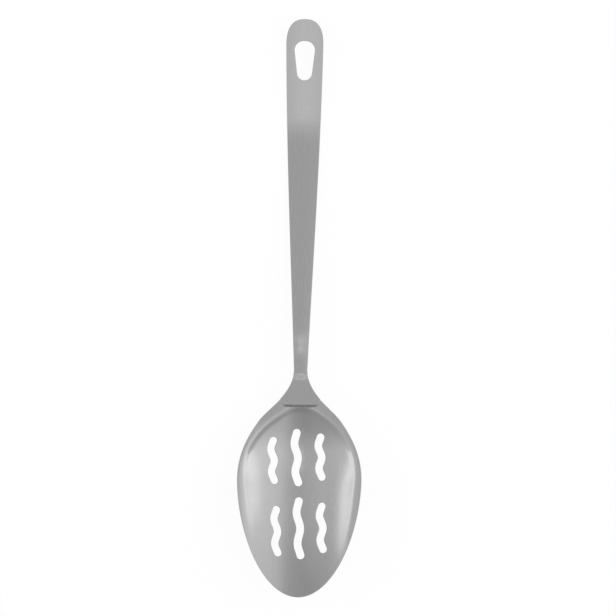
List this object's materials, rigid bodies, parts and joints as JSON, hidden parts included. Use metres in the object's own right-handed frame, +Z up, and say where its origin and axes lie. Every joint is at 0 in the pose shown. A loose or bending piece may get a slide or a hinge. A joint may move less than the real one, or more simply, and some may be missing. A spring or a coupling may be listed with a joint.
{
  "type": "slotted serving spoon",
  "caption": "Stainless steel serving spoon with wavy drain slots in an egg-shaped bowl and a tapered strap handle that ends in a hanging hole.",
  "frame": {"origin": "middle of the spoon's footprint, on the table it rests on", "axes": "+Y from the bowl's tip to the handle's end, +Z up out of the dish, +X to the right seen from above with the handle at the top"},
  "size_m": [0.0732, 0.3406, 0.0173],
  "materials": {
    "bowl_steel": "satin",
    "handle_steel": "fine lengthwise brushing",
    "weld_steel": "as welded"
  },
  "bodies": {
    "root": {"bowl": "bowl_steel", "handle": "handle_steel", "spot_welds": "weld_steel"}
  },
  "joints": []
}
